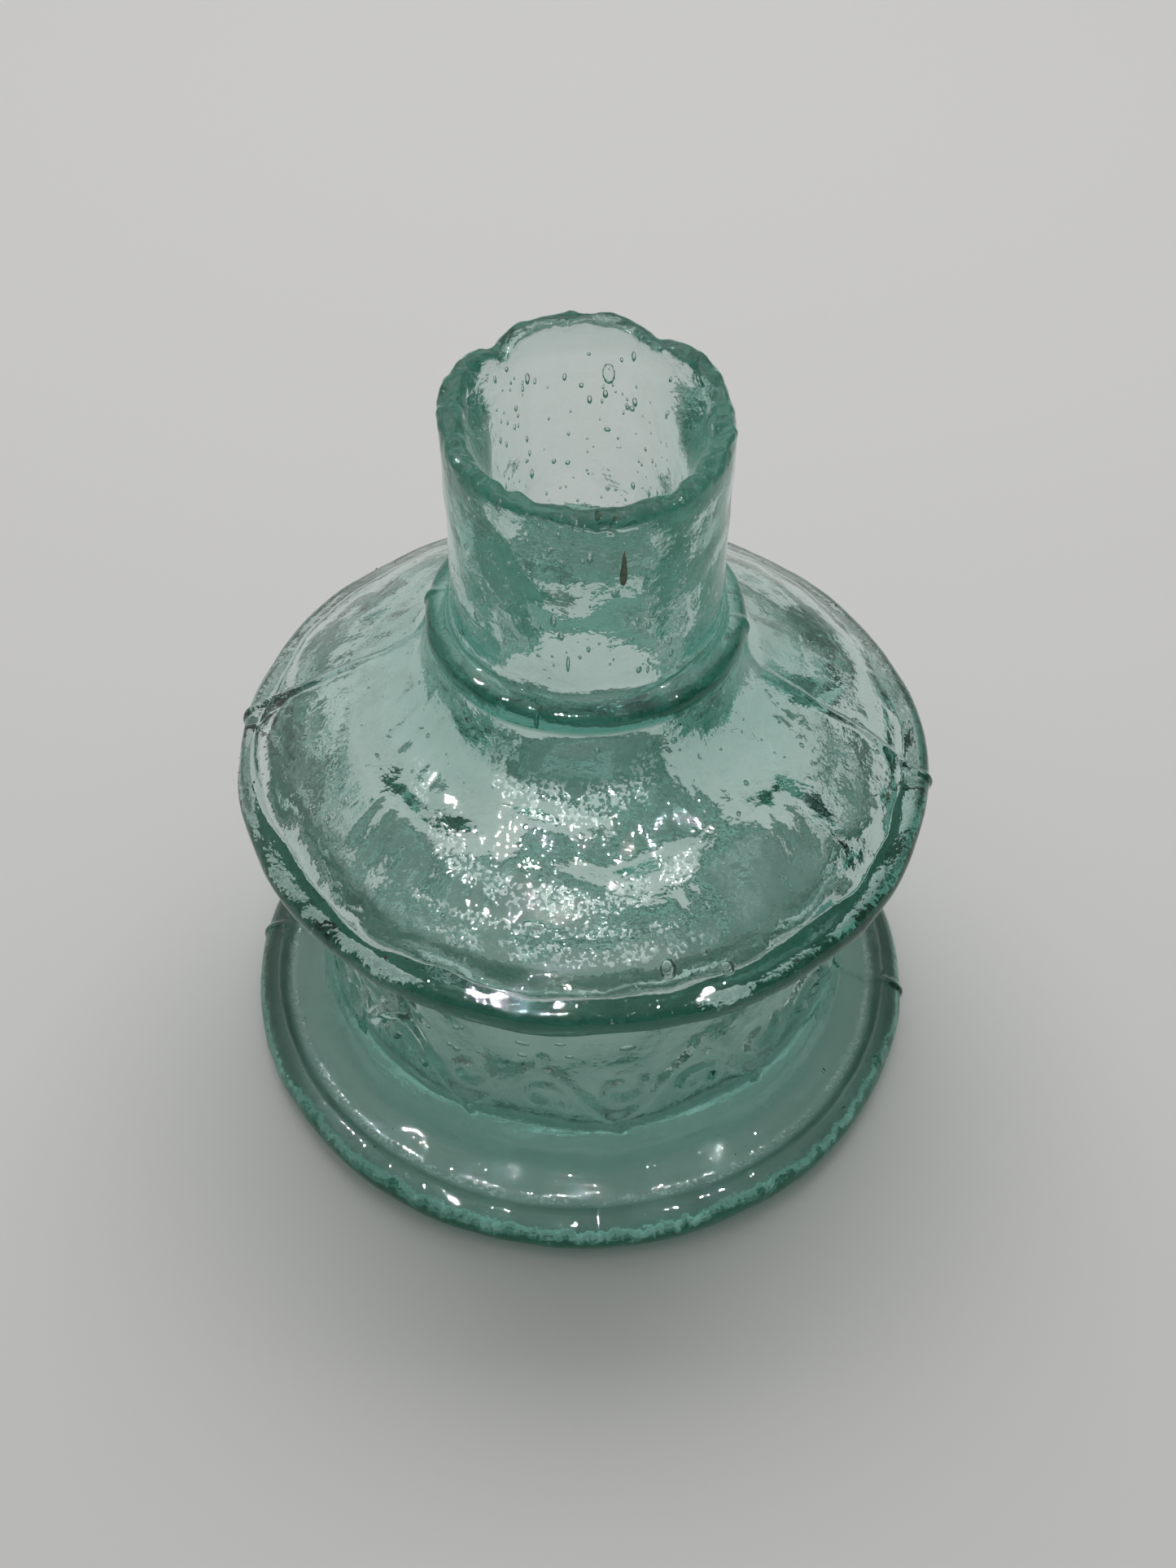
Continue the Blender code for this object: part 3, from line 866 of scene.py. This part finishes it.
def make_room():
    """A pale room: bright above and behind the bottle, dim in front of it."""
    world = bpy.data.worlds.new("studio")
    bpy.context.scene.world = world
    world.use_nodes = True
    tree = world.node_tree
    background = tree.nodes["Background"]
    place = tree.nodes.new("ShaderNodeTexCoord")
    split = tree.nodes.new("ShaderNodeSeparateXYZ")
    tree.links.new(place.outputs["Generated"], split.inputs[0])
    along_x, along_y, along_z = split.outputs
    level = mapped(tree, along_y, -0.8, 0.6, ROOM_FRONT, ROOM_BACK)
    level = maths(tree, "MULTIPLY", level, mapped(tree, along_x, -0.8, 0.8, ROOM_LEFT, ROOM_RIGHT))
    level = maths(tree, "ADD", level, mapped(tree, along_z, 0.5, 0.95, 0.0, ROOM_ABOVE))
    tree.links.new(level, background.inputs["Strength"])
    background.inputs["Color"].default_value = (1.0, 0.995, 0.985, 1.0)


def make_lamps():
    """A window behind the bottle, a weak twin of it for the glass's shadow, and a ring of glints."""
    overhead = area_lamp("overhead", WINDOW_PLACE, ORIGIN, WINDOW_SIZE, SHADOW_POWER)
    area_lamp("window", WINDOW_PLACE, ORIGIN, WINDOW_SIZE, WINDOW_POWER)
    overhead.visible_transmission = False
    glints = []
    for number, (azimuth, power) in enumerate(GLINT_LAMPS, 1):
        turn = math.radians(azimuth)
        place = (GLINT_AWAY * math.cos(turn), GLINT_AWAY * math.sin(turn), GLINT_UP)
        glint = area_lamp("glint_%d" % number, place, GLINT_AIM, (GLINT_SIZE, GLINT_SIZE), power)
        glint.visible_transmission = False
        glint.visible_diffuse = False
        glints.append(glint)
    return glints


def light_only(lamps, piece):
    """Lets the lamps light nothing but this piece, so that the floor doesn't show them."""
    lit = bpy.data.collections.new("lit_by_glints")
    lit.objects.link(piece)
    for lamp in lamps:
        lamp.light_linking.receiver_collection = lit


LENS = 50.0
SENSOR_WIDTH = 36.0
CAMERA_BACK = 0.11645
CAMERA_UP = 0.15469
CAMERA_PITCH = 47.918
CAMERA_YAW = 0.184
CAMERA_ROLL = 0.963


def make_camera():
    lens = bpy.data.cameras.new("camera")
    lens.lens = LENS
    lens.sensor_width = SENSOR_WIDTH
    lens.clip_start = 0.005
    camera = bpy.data.objects.new("camera", lens)
    camera.location = (0.0, -CAMERA_BACK, CAMERA_UP)
    pitch, yaw, roll = (math.radians(a) for a in (CAMERA_PITCH, CAMERA_YAW, CAMERA_ROLL))
    ahead = Vector((math.sin(yaw) * math.cos(pitch), math.cos(yaw) * math.cos(pitch), -math.sin(pitch)))
    level = ahead.cross(Vector((0, 0, 1))).normalized()
    above = level.cross(ahead)
    right = level * math.cos(roll) + above * math.sin(roll)
    up = above * math.cos(roll) - level * math.sin(roll)
    camera.rotation_euler = Matrix((right, up, -ahead)).transposed().to_euler()
    bpy.context.scene.collection.objects.link(camera)
    bpy.context.scene.camera = camera


make_floor()
make_room()
glint_lamps = make_lamps()
make_camera()
glass = glass_body()
glass.data.materials.append(glass_material())
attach(glass, "root")
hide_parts("glass_bottle")
pieces = [
    seed_bubbles(bubble_material()),
    ash_streak(grit_material("furnace_ash", (0.07, 0.09, 0.04, 1), (0.25, 0.28, 0.15, 1), 0.6)),
    dirt_specks(grit_material("old_dirt", (0.02, 0.015, 0.01, 1), (0.12, 0.09, 0.06, 1), 0.9)),
]
light_only(glint_lamps, glass)

scene = bpy.context.scene
scene.view_settings.view_transform = "Standard"
scene.cycles.max_bounces = 24
scene.cycles.transmission_bounces = 24
scene.cycles.glossy_bounces = 12
scene.cycles.blur_glossy = 0.0
